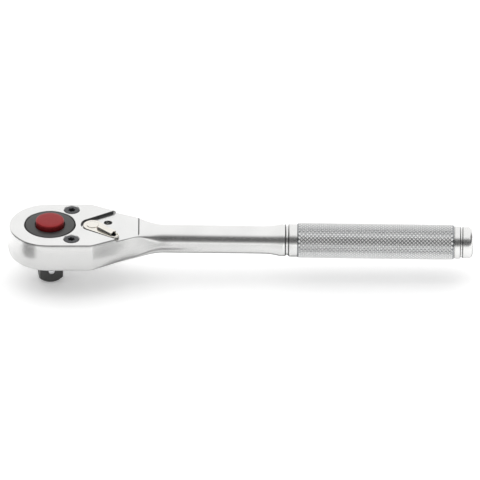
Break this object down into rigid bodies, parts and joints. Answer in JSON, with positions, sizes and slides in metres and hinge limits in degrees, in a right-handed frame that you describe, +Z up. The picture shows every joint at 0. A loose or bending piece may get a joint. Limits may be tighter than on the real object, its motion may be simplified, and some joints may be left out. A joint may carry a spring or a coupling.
{
  "type": "ratchet wrench",
  "caption": "Reversible ratchet wrench with a pear-shaped head, square drive with a locking ball, push-button socket release, thumb lever and round knurled handle.",
  "frame": {"origin": "on the square drive's axis, in the plane of the head's underside", "axes": "+X along the handle, +Z up out of the release button, -Z along the square drive towards the socket"},
  "size_m": [0.2546, 0.0456, 0.0365],
  "materials": {
    "satin_chrome": "satin chrome plate",
    "bright_chrome": "polished chrome plate",
    "black_oxide": "black oxide on steel",
    "drive_steel": "dark phosphate on alloy steel",
    "red_anodised": "satin dark red anodised",
    "ground_steel": "ground",
    "spring_steel": "drawn wire",
    "bronze": "plain",
    "seal_rubber": "matt"
  },
  "bodies": {
    "wrench": {"ratchet_body": "satin_chrome", "cover_plate": "satin_chrome", "pawl_screws": "black_oxide", "seal_ring": "seal_rubber", "thrust_washer": "bronze", "pawl_spring_left": "spring_steel", "pawl_spring_right": "spring_steel"},
    "drive": {"drive_gear": "drive_steel", "release_spring": "spring_steel", "lower_seal_ring": "seal_rubber"},
    "button": {"release_button": "red_anodised", "release_plunger": "ground_steel"},
    "ball": {"locking_ball": "ground_steel"},
    "selector": {"reversing_lever": "bright_chrome", "selector_cam": "bright_chrome", "detent_ball": "ground_steel", "detent_spring": "spring_steel", "selector_seal_ring": "seal_rubber"},
    "pawl_left": {"pawl_left": "ground_steel"},
    "pawl_right": {"pawl_right": "ground_steel"}
  },
  "joints": [
    {"name": "drive_spin", "type": "hinge", "parent": "wrench", "child": "drive", "pos_m": [0, 0, 0], "axis": [0, 0, 1], "continuous": true},
    {"name": "button_press", "type": "slide", "parent": "drive", "child": "button", "axis": [0, 0, -1], "range_m": [0, 0.003], "stiffness_N_per_m": 900, "springref_m": -0.004, "deforming": ["release_spring"]},
    {"name": "ball_retract", "type": "slide", "parent": "drive", "child": "ball", "axis": [-0.1444, 0.9895, 0], "range_m": [0, 0.00113]},
    {"name": "lever_swing", "type": "hinge", "parent": "wrench", "child": "selector", "pos_m": [0.02335, 0, 0.0156], "axis": [0, 0, 1], "range_deg": [0, 84]},
    {"name": "pawl_left_swing", "type": "hinge", "parent": "wrench", "child": "pawl_left", "pos_m": [0.0118, 0.0152, 0.008], "axis": [0, 0, 1], "range_deg": [0, 8], "deforming": ["pawl_spring_left"]},
    {"name": "pawl_right_swing", "type": "hinge", "parent": "wrench", "child": "pawl_right", "pos_m": [0.0118, -0.0152, 0.008], "axis": [0, 0, 1], "range_deg": [0, 8], "deforming": ["pawl_spring_right"]}
  ],
  "couplings": [
    {"joint": "ball_retract", "follows": "button_press", "ratio": 0.376},
    {"joint": "pawl_left_swing", "follows": "lever_swing", "ratio": 0.095238},
    {"joint": "pawl_right_swing", "follows": "lever_swing", "ratio": 0.095238}
  ]
}
